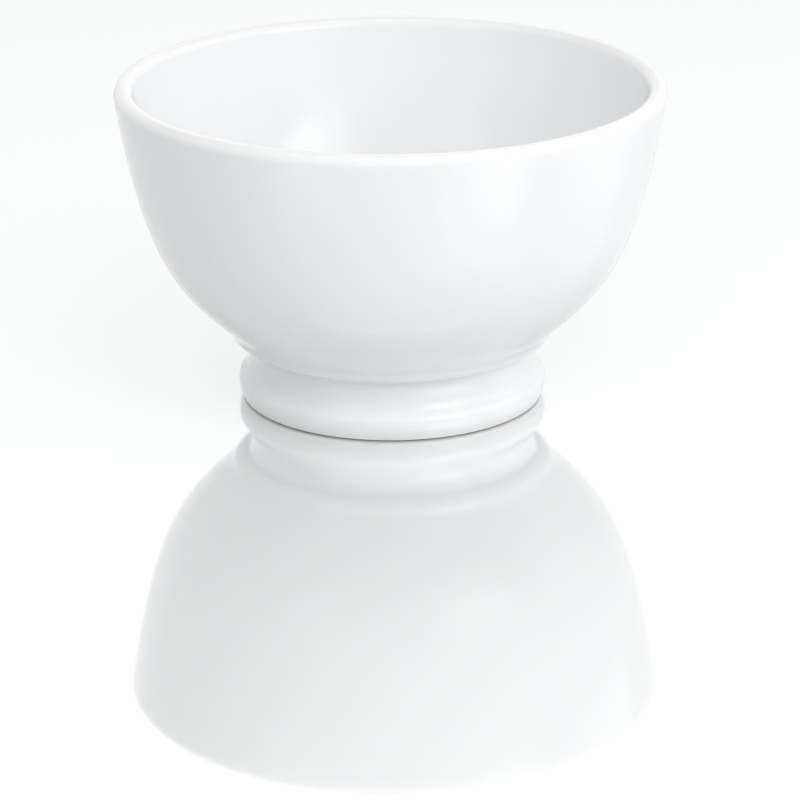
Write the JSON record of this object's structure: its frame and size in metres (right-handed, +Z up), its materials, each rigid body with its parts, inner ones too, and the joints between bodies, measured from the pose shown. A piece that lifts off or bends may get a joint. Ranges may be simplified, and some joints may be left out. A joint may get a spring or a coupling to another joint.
{
  "type": "footed bowl",
  "caption": "White glazed porcelain breakfast bowl with a thick rounded lip, a rounded wall and a short hollow ring foot, free-standing, for hot drinks, cereal, soup or serving.",
  "frame": {"origin": "on the table, under the middle of the bowl, in the plane of the foot ring", "axes": "+Z is up, along the axis that the bowl is turned about; X and Y are equal because the bowl is round"},
  "size_m": [0.14, 0.14, 0.083],
  "materials": {
    "glazed_bowl": "gloss",
    "glazed_foot": "gloss"
  },
  "bodies": {
    "root": {"bowl": "glazed_bowl", "foot": "glazed_foot"}
  },
  "joints": []
}
